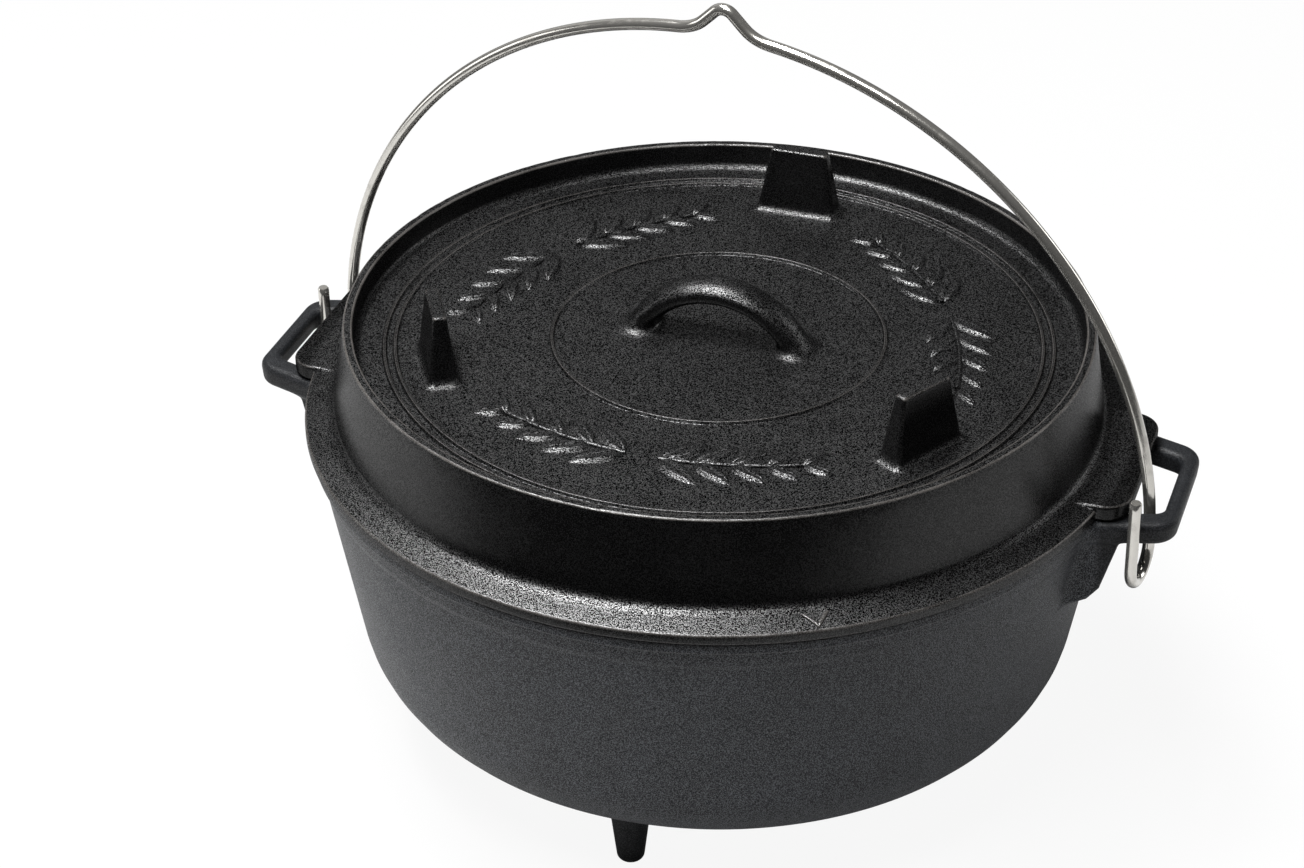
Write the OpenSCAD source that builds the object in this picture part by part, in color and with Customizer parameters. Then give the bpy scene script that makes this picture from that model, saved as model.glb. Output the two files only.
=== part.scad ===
// Camp dutch oven: a cast pot on three feet, a dished lid with legs, and a wire bail.
// Millimetres. Z is up with the foot tips at Z = 0, and the two loop handles lie on X.

/* [Pot] */
// Height of the pot from its flat bottom to the top of its rim
pot_h = 110.2; // [95:0.1:125]
// Outside radius of the wall, carried up to the top of the rim
wall_top_r = 152.3; // [140:0.1:165]
// Lean of the wall, in degrees from upright
wall_lean = 9.7; // [6:0.1:13]
// Thickness of the wall
wall_t = 5; // [4:0.1:7]
// Thickness of the floor
floor_t = 5.5; // [4:0.1:8]
// Outside radius of the round between the wall and the floor
corner_r = 33.8; // [24:0.1:42]
// How far the rim's bead stands out from the wall
bead_out = 1.2; // [0.8:0.1:3]
// Height of the rim's bead
bead_h = 4.7; // [3:0.1:7]

/* [Feet] */
// Height of the feet under the flat bottom
foot_h = 28; // [18:0.5:40]
// Distance from the wall's base circle in to the foot centres
foot_inset = 29.5; // [20:0.5:40]
// Radius of a foot where it meets the bottom
foot_root_r = 8.2; // [6:0.1:10]
// Radius of the flat tip of a foot
foot_tip_r = 5; // [3:0.1:6]

/* [Loop handles] */
// Width across a loop where it leaves the bead
loop_root_w = 69; // [60:0.5:76]
// Angle by which each side bar turns in towards the loop's end
side_turn = 17.1; // [8:0.1:22]
// Thickness of the loop's side bars, seen from above
side_bar_w = 9.4; // [8:0.1:10.5]
// Thickness of the loop's end bar, seen from above
end_bar_w = 6; // [5:0.1:8]
// Height of the loop's bars
bar_h = 9; // [8:0.1:11]
// Bevel on the edges of the bars
bar_bevel = 1.8; // [1:0.1:2]
// Outside radius of the loop's corners
loop_corner_r = 10; // [6:0.1:12]
// Drop from the top of the rim to the top of the bars
loop_drop = 0.7; // [0.3:0.1:3]
// Room left in the loop for the wire, outside the lid's ear
loop_slot = 10.7; // [10:0.1:14]
// Thickness of the rib under each side bar
rib_t = 6; // [4:0.1:6]
// Depth of the rib below the bars
rib_drop = 28; // [18:0.5:36]
// How far the rib's top stands out past the bead
rib_out = 6.7; // [4:0.1:9]
// How far the rib stands in from the middle of its bar
rib_in = 1.2; // [0:0.1:1.4]

/* [Lid] */
// Height of the lid from the underside of its brim to its crest
lid_h = 39.9; // [34:0.1:48]
// How far the brim reaches past the pot's bead
brim_over = 1.5; // [0.5:0.1:3]
// Thickness of the brim's outer edge
brim_t = 3.9; // [3:0.1:5]
// Width of the sloping part of the brim's top
brim_slope_w = 8; // [5:0.1:8.5]
// Rise of the brim's top from its edge to the root of the skirt
brim_rise = 2.1; // [1:0.1:3]
// Distance from the brim's edge in to the root of the skirt
skirt_inset = 11.1; // [10:0.1:12]
// Lean of the skirt, in degrees from upright
skirt_lean = 8.8; // [4:0.1:11]
// Thickness of the skirt below the plate
skirt_t = 5; // [4:0.1:6]
// Thickness of the lid's crest
crest_t = 3.8; // [3:0.1:5]
// Depth of the tray on top of the lid
tray_d = 10.4; // [6:0.1:14]
// Thickness of the lid's plate
plate_t = 5; // [4:0.1:7]
// Depth of the lip that keeps the lid over the mouth
lip_d = 4; // [2.5:0.1:5]
// How far each ear stands out past the brim
ear_out = 7.3; // [4:0.1:10]
// Width of each ear
ear_w = 67; // [54:0.5:76]
// Radius of the ear's corners
ear_corner_r = 10; // [6:0.5:12]

/* [Lid legs and handle] */
// Height of the legs on the lid
leg_h = 26; // [18:0.5:34]
// Distance from the tray's wall in to the middle of the legs
leg_inset = 30.1; // [22:0.1:42]
// Width of a leg at its base
leg_base_w = 32; // [26:0.5:40]
// Width of a leg at its top
leg_top_w = 22.7; // [14:0.1:25]
// Thickness of a leg at its base
leg_base_t = 10.5; // [8:0.1:14]
// Thickness of a leg at its top
leg_top_t = 5; // [3:0.1:7]
// Thickness of the handle's oval bar, across its arc
grip_t = 9.2; // [7:0.1:11]
// Width of the handle's oval bar, from front to back
grip_w = 15; // [11:0.1:20]
// Radius of the handle's arc, at the centre of the bar
grip_arc_r = 34; // [30:0.1:40]
// Height of the bar's centre over the plate, at the top of the arc
grip_rise = 19; // [16:0.1:23]

/* [Bail] */
// Diameter of the wire
wire_d = 4.4; // [3.5:0.1:5]
// Drop from the middle of the bars to the middle of the arch's circle
arch_drop = 12.5; // [11:0.1:18]
// Height of the peak bent into the top of the arch
peak_h = 9.4; // [8:0.1:18]
// Half width of the peak where it leaves the arch
peak_half_w = 12; // [11:0.1:20]
// Radius of the bend at the tip of the peak
peak_r = 5; // [4:0.1:6]
// Length of the free end of each hook
hook_end_l = 30; // [22:0.1:36]
// Lean of the bail towards the front, in degrees from upright
bail_lean = 2.5; // [0:0.5:5]

/* [Clearances] */
// Gap between the lid's brim and the pot's rim
seat_gap = 0.3; // [0.2:0.05:0.6]
// Gap between the lid's lip and the pot's mouth
lip_gap = 1.2; // [0.8:0.1:2]
// Gap between the wire and the end bar of the loop
wire_end_gap = 2; // [1:0.1:2.5]
// Gap between the hook and the corners of the bar it turns on
hook_gap = 1.3; // [1:0.1:2]

/* [Hidden] */
$fn = 96;

iron = [0.09, 0.09, 0.10];
wall_iron = [0.13, 0.13, 0.145];
steel = [0.70, 0.69, 0.66];

// Room that a cutting or joining shape runs past what it meets
past = 40;

// Heights
rim_z = foot_h + pot_h;
bar_z = rim_z - loop_drop - bar_h / 2;
bar_low_z = bar_z - bar_h / 2;
lid_z = rim_z + seat_gap;
brim_z = lid_z + brim_t;
crest_z = lid_z + lid_h;
plate_z = crest_z - tray_d;
under_z = plate_z - plate_t;
ear_z = brim_z + brim_rise;

// Radii of the pot
wall_base_r = wall_top_r - pot_h * tan(wall_lean);
bead_r = wall_top_r + bead_out;
mouth_r = wall_top_r - wall_t / cos(wall_lean);
foot_ring_r = wall_base_r - foot_inset;

// Radii of the lid
brim_r = bead_r + brim_over;
skirt_r = brim_r - skirt_inset;
skirt_z = ear_z + (skirt_inset - brim_slope_w) / 2;
crest_r = skirt_r - (crest_z - skirt_z) * tan(skirt_lean);
crest_in_r = crest_r - crest_t;
lip_r = mouth_r - lip_d * tan(wall_lean) - lip_gap;
ear_x = brim_r + ear_out;
leg_ring_r = crest_in_r - leg_inset;

// Two points of a rib's lower edge, in from its outer face and up from its foot, as shares of its drop
rib_knee = [0.22, 0.25];
rib_heel = [0.37, 0.08];

// The end of a loop and the slope of its sides, in plan
loop_x = ear_x + loop_slot + end_bar_w;
side_slope = tan(side_turn);

// The bail's arch, its hooks and the way it lies across the pot
wire_r = wire_d / 2;
arch_r = loop_x - end_bar_w - wire_end_gap - wire_r;
bail_turn_guess = atan(side_bar_y(arch_r) / arch_r);
bail_turn = asin(side_bar_y(arch_r * cos(bail_turn_guess)) / arch_r);
bar_half_across = side_bar_w / 2 / cos(side_turn + bail_turn);
bar_reach = max(
    norm([bar_half_across - bar_bevel, bar_h / 2]), norm([bar_half_across, bar_h / 2 - bar_bevel])
);
hook_r = bar_reach + hook_gap + wire_r;

// The peak at the top of the arch: a straight flank each side of a round tip
shoulder_angle = acos(peak_half_w / arch_r);
shoulder = arch_r * [cos(shoulder_angle), sin(shoulder_angle)];
tip = [0, arch_r + peak_h - peak_r];
tip_to_shoulder = shoulder - tip;
flank_turn = atan2(tip_to_shoulder[1], tip_to_shoulder[0]) + acos(peak_r / norm(tip_to_shoulder));
flank_top = tip + peak_r * [cos(flank_turn), sin(flank_turn)];

// Angle up the arch where the strand of a hook ends, a little over the hook's free end
strand_over = 6;
strand_angle = asin((hook_end_l + strand_over) / arch_r);

// Runs of wire stop this far short of a joint, and a slightly larger ball fills the joint
joint_gap = 0.1;
joint_ball_r = wire_r * 1.03;

// Distance from the X axis to the middle of a side bar at a given x
function side_bar_y(x) =
    loop_root_w / 2 - (x - bead_r) * side_slope - side_bar_w / 2 / cos(side_turn);

// Radius of the skirt's inner face at a given height
function skirt_inner_r(z) = skirt_r - (z - skirt_z) * tan(skirt_lean) - skirt_t / cos(skirt_lean);

// Half section of a filled dish with a leaning wall and a round corner at its base
module dish_section(base_r, base_z, top_z, round_r) {
    middle = [base_r + round_r * tan(wall_lean) - round_r / cos(wall_lean), base_z + round_r];
    wall_side = [cos(wall_lean), -sin(wall_lean)];
    top_r = base_r + (top_z - base_z) * tan(wall_lean);
    polygon([
        [0, base_z], [middle[0], base_z], middle + round_r * wall_side, [top_r, top_z], [0, top_z]
    ]);
    intersection() {
        translate(middle) circle(round_r);
        polygon([
            middle, middle + 2 * round_r * [0, -1], middle + 2 * round_r * [1, -1],
            middle + 2 * round_r * wall_side
        ]);
    }
}

// Half section of the whole pot as if it were solid
module pot_section() {
    dish_section(wall_base_r, foot_h, rim_z, corner_r);
    translate([mouth_r, rim_z - bead_h]) square([bead_r - mouth_r, bead_h]);
}

// The pot as if it were solid, for cutting what is cast onto it
module pot_solid() {
    rotate_extrude() pot_section();
}

module pot_bowl() {
    inner_base_r = wall_base_r + floor_t * tan(wall_lean) - wall_t / cos(wall_lean);
    color(wall_iron) rotate_extrude() difference() {
        pot_section();
        dish_section(inner_base_r, foot_h + floor_t, rim_z + past, corner_r - wall_t);
    }
}

// A tapered foot at a given angle round the pot
module pot_foot(angle) {
    root_rise = (foot_root_r - foot_tip_r) / foot_h;
    color(iron) difference() {
        rotate(angle) translate([foot_ring_r, 0, 0])
            cylinder(h = foot_h + corner_r / 2, r1 = foot_tip_r, r2 = foot_root_r + root_rise * corner_r / 2);
        pot_solid();
    }
}

module pot_foot_front() {
    pot_foot(-90);
}

module pot_foot_right() {
    pot_foot(30);
}

module pot_foot_left() {
    pot_foot(150);
}

// Plan of a loop's outside, or of its hole: inset from the sides and from the end, with round corners
module loop_plan(side_inset, end_inset, round_r) {
    root_x = bead_r - past;
    end_x = loop_x - end_inset;
    root_y = loop_root_w / 2 + past * side_slope - side_inset / cos(side_turn);
    end_y = root_y - (end_x - root_x) * side_slope;
    offset(r = round_r, $fn = 48) offset(delta = -round_r)
        polygon([[root_x, -root_y], [end_x, -end_y], [end_x, end_y], [root_x, root_y]]);
}

// A loop plan as a slab, widened or narrowed by a bevel towards its top and bottom faces
module bevelled_slab(side_inset, end_inset, round_r, bevel) {
    flat_h = bar_h - 2 * bar_bevel;
    thin = 0.01;
    translate([0, 0, bar_z]) hull() {
        linear_extrude(flat_h, center = true) loop_plan(side_inset, end_inset, round_r);
        linear_extrude(bar_h, center = true)
            loop_plan(side_inset + bevel, end_inset + bevel, max(round_r - bevel, thin));
    }
}

// The hole of a loop, opened out by the bevel at its top and bottom faces
module loop_hole() {
    hole_corner_r = loop_corner_r / 2;
    translate([0, 0, bar_z]) linear_extrude(2 * bar_h, center = true)
        loop_plan(side_bar_w, end_bar_w, hole_corner_r);
    for (up = [0, 1])
        translate([0, 0, bar_z]) mirror([0, 0, up]) hull() {
            translate([0, 0, bar_h / 2 - bar_bevel])
                linear_extrude(bar_bevel) loop_plan(side_bar_w, end_bar_w, hole_corner_r);
            translate([0, 0, bar_h / 2]) linear_extrude(bar_bevel)
                loop_plan(side_bar_w - bar_bevel, end_bar_w - bar_bevel, hole_corner_r + bar_bevel);
        }
}

// The rib under a side bar, in line with the bar
module loop_rib() {
    low_z = bar_low_z - rib_drop;
    translate([bead_r, side_bar_y(bead_r), 0]) rotate(-side_turn) translate([0, -rib_in, 0])
        rotate([90, 0, 0]) linear_extrude(rib_t, center = true) polygon([
            [-past, bar_z], [rib_out, bar_z], [rib_out, bar_low_z],
            [rib_out - rib_drop * rib_knee[0], low_z + rib_drop * rib_knee[1]],
            [rib_out - rib_drop * rib_heel[0], low_z + rib_drop * rib_heel[1]], [-past, low_z - past / 4]
        ]);
}

// The loop handle on the right, with the side that meets the pot cut to the pot's face
module loop_on_right() {
    difference() {
        union() {
            difference() {
                bevelled_slab(0, 0, loop_corner_r, bar_bevel);
                loop_hole();
            }
            loop_rib();
            mirror([0, 1, 0]) loop_rib();
        }
        pot_solid();
    }
}

module loop_right() {
    color(iron) loop_on_right();
}

module loop_left() {
    color(iron) mirror([1, 0, 0]) loop_on_right();
}

module lid_plate() {
    color(iron) translate([0, 0, under_z]) cylinder(h = plate_t, r = crest_in_r);
}

// The raised rim round the plate and the wall under it, down to the top of the brim
module lid_skirt() {
    color(iron) rotate_extrude() polygon([
        [crest_in_r, under_z], [skirt_inner_r(under_z), under_z], [skirt_inner_r(ear_z), ear_z],
        [brim_r - brim_slope_w, ear_z], [skirt_r, skirt_z], [crest_r, crest_z], [crest_in_r, crest_z]
    ]);
}

// The brim that lies on the pot's rim, with the lip that goes into the mouth
module lid_brim() {
    lip_z = lid_z - lip_d;
    color(iron) rotate_extrude() polygon([
        [skirt_inner_r(lip_z), lip_z], [lip_r, lip_z], [lip_r, lid_z], [brim_r, lid_z], [brim_r, brim_z],
        [brim_r - brim_slope_w, ear_z], [skirt_inner_r(ear_z), ear_z]
    ]);
}

// The space inside the brim's edge and its sloping top, for cutting the ears
module brim_solid() {
    rotate_extrude() polygon([
        [0, lid_z - past], [brim_r, lid_z - past], [brim_r, brim_z],
        [brim_r - 2 * brim_slope_w, brim_z + 2 * brim_rise], [0, brim_z + 2 * brim_rise]
    ]);
}

// Plan of the right ear, from the middle of the lid out to its round corners
module ear_plan() {
    corner = [ear_x, ear_w / 2] - ear_corner_r * [1, 1];
    translate([0, -corner[1]]) square([ear_x, 2 * corner[1]]);
    translate([0, -ear_w / 2]) square([corner[0], ear_w]);
    for (y = [-1, 1])
        translate([corner[0], y * corner[1]]) circle(ear_corner_r);
}

module ear_on_right() {
    difference() {
        translate([0, 0, lid_z]) linear_extrude(ear_z - lid_z) ear_plan();
        brim_solid();
    }
}

module lid_ear_right() {
    color(iron) ear_on_right();
}

module lid_ear_left() {
    color(iron) mirror([1, 0, 0]) ear_on_right();
}

// A tapered leg at a given angle round the lid
module lid_leg(angle) {
    color(iron) rotate(angle) translate([leg_ring_r, 0, plate_z]) intersection() {
        rotate([90, 0, 0]) linear_extrude(2 * leg_base_w, center = true) leg_side(leg_base_t, leg_top_t);
        rotate([90, 0, 90]) linear_extrude(2 * leg_base_t, center = true) leg_side(leg_base_w, leg_top_w);
    }
}

// One side view of a leg
module leg_side(base, top) {
    polygon([[-base / 2, 0], [base / 2, 0], [top / 2, leg_h], [-top / 2, leg_h]]);
}

module lid_leg_back() {
    lid_leg(90);
}

module lid_leg_right() {
    lid_leg(-30);
}

module lid_leg_left() {
    lid_leg(-150);
}

module lid_handle() {
    color(iron) difference() {
        translate([0, 0, plate_z + grip_rise - grip_arc_r]) rotate([90, 0, 0])
            rotate_extrude(angle = 180) translate([grip_arc_r, 0])
                scale([grip_t / grip_w, 1]) circle(d = grip_w);
        translate([0, 0, plate_z - past / 2]) cube([4 * grip_arc_r, 2 * past, past], center = true);
    }
}

// A bend of the wire in the arch's plane, between two angles about a middle
module wire_bend(middle, radius, from_angle, to_angle) {
    translate([middle[0], 0, middle[1]]) rotate([90, 0, 0]) rotate(from_angle)
        rotate_extrude(angle = to_angle - from_angle) translate([radius, 0]) circle(wire_r);
}

// The ball that joins two runs of wire
module wire_joint(at) {
    translate([at[0], 0, at[1]]) sphere(joint_ball_r);
}

// The right half of the arch, from the end of the hook's strand up to the tip of the peak
module arch_half() {
    flank = flank_top - shoulder;
    gap_angle = atan(joint_gap / arch_r);
    wire_bend([0, 0], arch_r, strand_angle, shoulder_angle - gap_angle);
    wire_joint(shoulder);
    translate([shoulder[0], 0, shoulder[1]]) rotate([0, 90 - atan2(flank[1], flank[0]), 0])
        translate([0, 0, joint_gap]) cylinder(h = norm(flank) - 2 * joint_gap, r = wire_r);
    wire_joint(flank_top);
}

// The hook on the right: a strand that comes down from the arch, a bend under the bar, and a free end
module hook_on_right() {
    wire_bend([0, 0], arch_r, 0, strand_angle);
    translate([arch_r, -hook_r, 0]) {
        rotate([0, 90, 0]) rotate(-90) rotate_extrude(angle = 180) translate([hook_r, 0]) circle(wire_r);
        translate([0, -hook_r, 0]) cylinder(h = hook_end_l, r = wire_r);
    }
}

// Puts what is drawn in the arch's own frame in its place across the pot
module on_bail() {
    color(steel) translate([0, 0, bar_z]) rotate(-bail_turn) rotate([bail_lean, 0, 0])
        translate([0, hook_r, -arch_drop]) children();
}

module bail_arch() {
    tip_gap_angle = atan(joint_gap / peak_r);
    on_bail() {
        arch_half();
        mirror([1, 0, 0]) arch_half();
        wire_bend(tip, peak_r, flank_turn + tip_gap_angle, 180 - flank_turn - tip_gap_angle);
    }
}

module bail_hook_right() {
    on_bail() hook_on_right();
}

module bail_hook_left() {
    on_bail() mirror([1, 0, 0]) hook_on_right();
}

pot_bowl();
pot_foot_front();
pot_foot_right();
pot_foot_left();
loop_right();
loop_left();
lid_plate();
lid_skirt();
lid_brim();
lid_ear_right();
lid_ear_left();
lid_leg_back();
lid_leg_right();
lid_leg_left();
lid_handle();
bail_arch();
bail_hook_right();
bail_hook_left();
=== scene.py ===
# %% [markdown]
# # Camp dutch oven
# A camp dutch oven is two iron castings and one bent wire: a pot on peg feet, a brimmed lid that can hold
# embers, and a bail to hang it all from a tripod. The measured solids are already in the frame. This lesson
# dresses them: every solid is replaced by a finer mesh of the same size, with the fillets, rounded edges
# and grain of real sand casting.

# %% Load the measured frame
import math

import bpy
import numpy as np
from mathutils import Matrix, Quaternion, Vector


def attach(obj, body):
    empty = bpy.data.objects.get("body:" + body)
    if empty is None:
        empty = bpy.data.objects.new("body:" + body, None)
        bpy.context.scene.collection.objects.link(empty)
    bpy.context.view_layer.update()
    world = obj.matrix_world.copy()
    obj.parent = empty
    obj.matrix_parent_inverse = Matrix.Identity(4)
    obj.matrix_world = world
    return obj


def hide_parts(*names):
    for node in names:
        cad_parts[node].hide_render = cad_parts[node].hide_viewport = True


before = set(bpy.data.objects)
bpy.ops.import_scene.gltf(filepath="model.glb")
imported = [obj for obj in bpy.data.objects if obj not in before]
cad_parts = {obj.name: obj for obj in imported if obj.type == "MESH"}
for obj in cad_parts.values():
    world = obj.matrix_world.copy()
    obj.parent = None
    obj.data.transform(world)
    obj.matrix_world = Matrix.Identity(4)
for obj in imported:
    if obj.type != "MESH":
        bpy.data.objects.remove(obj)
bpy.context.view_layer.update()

# %% [markdown]
# ## Sizes
# All shapes are worked out in millimetres, as on a drawing, and become metres when a mesh is made. Heights
# are measured from the ground under the feet. The same names are used for the same things all through the
# lesson.

# %% Sizes of the two castings, in millimetres
MM = 0.001

RIM_Z = 138.2
FLOOR_Z = 28.0
WALL_LEAN = math.radians(9.7)
WALL_TOP_R = 152.3
WALL_T = 5.0
FLOOR_T = 5.5
CORNER_R = 33.8
BEAD_R = 153.5
BEAD_H = 4.7

LID_Z = 138.5
BRIM_R = 154.98
BRIM_Z = 142.4
EAR_Z = 144.5
SKIRT_R = 143.9
SKIRT_Z = 146.05
SKIRT_LEAN = math.radians(8.8)
SKIRT_T = 5.0
CREST_Z = 178.4
CREST_T = 3.8
PLATE_Z = 168.0
PLATE_T = 5.0


def wall_radius(z):
    """Radius of the pot's outer wall at a height."""
    return WALL_TOP_R - (RIM_Z - z) * math.tan(WALL_LEAN)


def skirt_radius(z):
    """Radius of the lid's outer skirt at a height."""
    return SKIRT_R - (z - SKIRT_Z) * math.tan(SKIRT_LEAN)


crest_r = skirt_radius(CREST_Z)
tray_r = crest_r - CREST_T
print(f"wall foot radius {wall_radius(FLOOR_Z):.1f}, crest radius {crest_r:.1f}, tray radius {tray_r:.1f} mm")

# %% [markdown]
# ## Node maths as Python
# Materials and Geometry Nodes are graphs, and long sums are hard to read as graphs. One small class wraps a
# socket so that `a * 2 + b` adds the Math nodes by itself, and one method adds any other node with its
# settings and sockets.

# %% A socket that understands arithmetic, and a tree that adds nodes
class Value:
    """An output socket. Arithmetic on it adds Math nodes to its tree."""

    def __init__(self, tree, socket):
        self.tree = tree
        self.socket = socket

    def math(self, operation, *others):
        return self.tree.node("ShaderNodeMath", {"operation": operation}, self, *others)

    def __add__(self, other):
        return self.math("ADD", other)

    def __sub__(self, other):
        return self.math("SUBTRACT", other)

    def __rsub__(self, other):
        return self.tree.node("ShaderNodeMath", {"operation": "SUBTRACT"}, other, self)

    def __mul__(self, other):
        return self.math("MULTIPLY", other)

    def __truediv__(self, other):
        return self.math("DIVIDE", other)

    __radd__ = __add__
    __rmul__ = __mul__


class Tree:
    """A node tree that is written from the left to the right."""

    def __init__(self, nodes):
        self.nodes = nodes

    def feed(self, socket, value):
        if isinstance(value, Value):
            self.nodes.links.new(value.socket, socket)
        else:
            socket.default_value = value

    def node(self, kind, settings=None, *inputs, out=None, **named):
        """Adds a node: its settings, then its sockets in order or by name. Gives one of its outputs."""
        made = self.nodes.nodes.new(kind)
        for key, setting in (settings or {}).items():
            setattr(made, key, setting)
        usable = [socket for socket in made.inputs if socket.enabled]
        for socket, value in zip(usable, inputs):
            self.feed(socket, value)
        for name, value in named.items():
            wanted = name.replace("_", " ")
            self.feed(next(s for s in usable if s.name == wanted), value)
        outputs = [socket for socket in made.outputs if socket.enabled]
        chosen = next((s for s in outputs if s.name == out), outputs[0] if outputs else None)
        return Value(self, chosen)

    def mix(self, factor, first, second):
        """A colour between two colours."""
        return self.node("ShaderNodeMix", {"data_type": "RGBA"}, Factor=factor, A=first, B=second)

    def ramp(self, value, low, high):
        """0 below low, 1 above high, and a soft step between them."""
        settings = {"interpolation_type": "SMOOTHSTEP"}
        return self.node("ShaderNodeMapRange", settings, value, low, high, 0.0, 1.0)


# %% [markdown]
# ## Camera
# The photograph was taken with a long lens from above and a little to the right of the front. The lens, the
# place and the direction were worked out from the ellipses of the rim and the lid, so the render can be
# laid over the photograph.

# %% The camera at the photograph's viewing angle
scene = bpy.context.scene
LOOK_TURN = math.radians(19.0)
LOOK_DOWN = math.radians(32.332)
CAMERA_ROLL = math.radians(-0.347)
CAMERA_AT = Vector((0.2978, -0.9416, 0.7495))

look = Vector((-math.sin(LOOK_TURN), math.cos(LOOK_TURN), -math.tan(LOOK_DOWN))).normalized()
camera_data = bpy.data.cameras.new("photo_camera")
camera_data.sensor_width = 36.0
camera_data.lens = 85.0
camera = bpy.data.objects.new("photo_camera", camera_data)
camera.location = CAMERA_AT
camera.rotation_mode = "QUATERNION"
camera.rotation_quaternion = look.to_track_quat("-Z", "Y") @ Quaternion((0, 0, 1), CAMERA_ROLL)
scene.collection.objects.link(camera)
scene.camera = camera
bpy.context.view_layer.update()


def photo_pixel(point):
    """Where a point in millimetres lands in the photograph's 1304 by 868 frame."""
    seen = camera.matrix_world.inverted() @ (Vector(point) * MM)
    focal = camera_data.lens / camera_data.sensor_width * 1304
    return 652 - focal * seen.x / seen.z, 434 + focal * seen.y / seen.z


print("the lid's middle lands at pixel", [round(p, 1) for p in photo_pixel((0, 0, 146))])

# %% [markdown]
# ## Floor and light
# The photograph is a plain product shot on white. Five soft panels light it here: one high at the left, one
# high in front, a broad dim one behind, and a weak low one at each side. The floor shows white to the
# camera while it keeps a faint shadow. It shows much dimmer in mirror images, and it ends a little way in
# front, so that the skirt of the lid mirrors a dim room there.

# %% A white floor and a pale world
CAMERA_GLOW = 0.92
MIRROR_GLOW = 0.10
WORLD_LIGHT = 0.035
FLOOR_SIDE = 1.6
FLOOR_FRONT = -0.33
FLOOR_BACK = 2.2


def shown_white(tree):
    """How far the floor glows white: most for camera and transmission rays, less in a mirror image."""
    kinds = ["Is Camera Ray", "Is Glossy Ray", "Is Transmission Ray"]
    camera_ray, glossy_ray, clear_ray = [tree.node("ShaderNodeLightPath", out=kind) for kind in kinds]
    return (camera_ray.math("MAXIMUM", clear_ray) * CAMERA_GLOW).math("MAXIMUM", glossy_ray * MIRROR_GLOW)


def new_material(name):
    material = bpy.data.materials.new(name)
    material.use_nodes = True
    material.node_tree.nodes.clear()
    return material, Tree(material.node_tree)


floor_white, tree = new_material("floor_white")
matt = tree.node("ShaderNodeBsdfDiffuse", None, (0.42, 0.42, 0.42, 1.0))
glow = tree.node("ShaderNodeEmission", None, (1.0, 1.0, 1.0, 1.0), 1.0)
surface = tree.node("ShaderNodeMixShader", None, shown_white(tree), matt, glow)
tree.node("ShaderNodeOutputMaterial", None, surface)

floor_mesh = bpy.data.meshes.new("floor")
floor_corners = [
    (-FLOOR_SIDE, FLOOR_FRONT, 0.0), (FLOOR_SIDE, FLOOR_FRONT, 0.0),
    (FLOOR_SIDE, FLOOR_BACK, 0.0), (-FLOOR_SIDE, FLOOR_BACK, 0.0),
]
floor_mesh.from_pydata(floor_corners, [], [(0, 1, 2, 3)])
floor_mesh.materials.append(floor_white)
floor = bpy.data.objects.new("floor", floor_mesh)
scene.collection.objects.link(floor)

world = bpy.data.worlds.new("pale_world")
world.use_nodes = True
world.node_tree.nodes.clear()
tree = Tree(world.node_tree)
camera_ray = tree.node("ShaderNodeLightPath", out="Is Camera Ray")
strength = camera_ray * (1.0 - WORLD_LIGHT) + WORLD_LIGHT
backdrop = tree.node("ShaderNodeBackground", None, (1.0, 1.0, 1.0, 1.0), strength)
tree.node("ShaderNodeOutputWorld", None, backdrop)
scene.world = world
scene.view_settings.view_transform = "Standard"

# %% Soft panels round the object
LIT_POINT = Vector((0.0, 0.0, 0.12))


def soft_panel(name, place, width, height, power):
    """A rectangular studio panel that faces the object."""
    data = bpy.data.lights.new(name, "AREA")
    data.shape = "RECTANGLE"
    data.size = width
    data.size_y = height
    data.energy = power
    panel = bpy.data.objects.new(name, data)
    panel.location = place
    panel.rotation_euler = (LIT_POINT - Vector(place)).to_track_quat("-Z", "Y").to_euler()
    scene.collection.objects.link(panel)


soft_panel("panel_high_left", (-0.45, -0.05, 1.74), 0.6, 0.6, 65.0)
soft_panel("panel_front", (-0.12, -0.72, 1.50), 0.6, 0.45, 30.0)
soft_panel("panel_back", (-1.7, 2.4, 1.7), 4.0, 2.0, 8.5)
soft_panel("panel_left", (-1.45, -0.35, 0.45), 0.5, 0.9, 3.8)
soft_panel("panel_right", (1.25, 0.9, 0.6), 0.5, 0.9, 5.0)

# %% [markdown]
# ## Finishes
# Sand casting leaves a fine pebbled skin on iron, and baked-on oil turns it near black with a satin sheen.
# Edges that get knocked wear back towards bare metal. Each mesh carries two numbers on its points. One is
# called edge, above zero where the surface is convex and below zero in hollows, so that one material can
# wear the edges and paint shade into the corners. The other is called upward, 1 on level faces and 0 on
# upright ones, because the lid's steep faces came out smoother. Shade is also painted onto the feet and onto
# the ears and loops that reach out past the brim.

# %% Cast iron with grain, mottling, specks, worn edges and painted shade
GRAIN_IOR = 1.7
PEBBLES_PER_M = 2300.0
SPECKS_PER_M = 4000.0
PATCHES_PER_M = 55.0
CLOUDS_PER_M = 14.0
# Painted shade on the feet fades out between these two heights, in mm.
FOOT_SHADE_LOW_Z = 22.0
FOOT_SHADE_HIGH_Z = 29.0
WORN_COLOUR = (0.16, 0.148, 0.138, 1.0)


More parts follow.
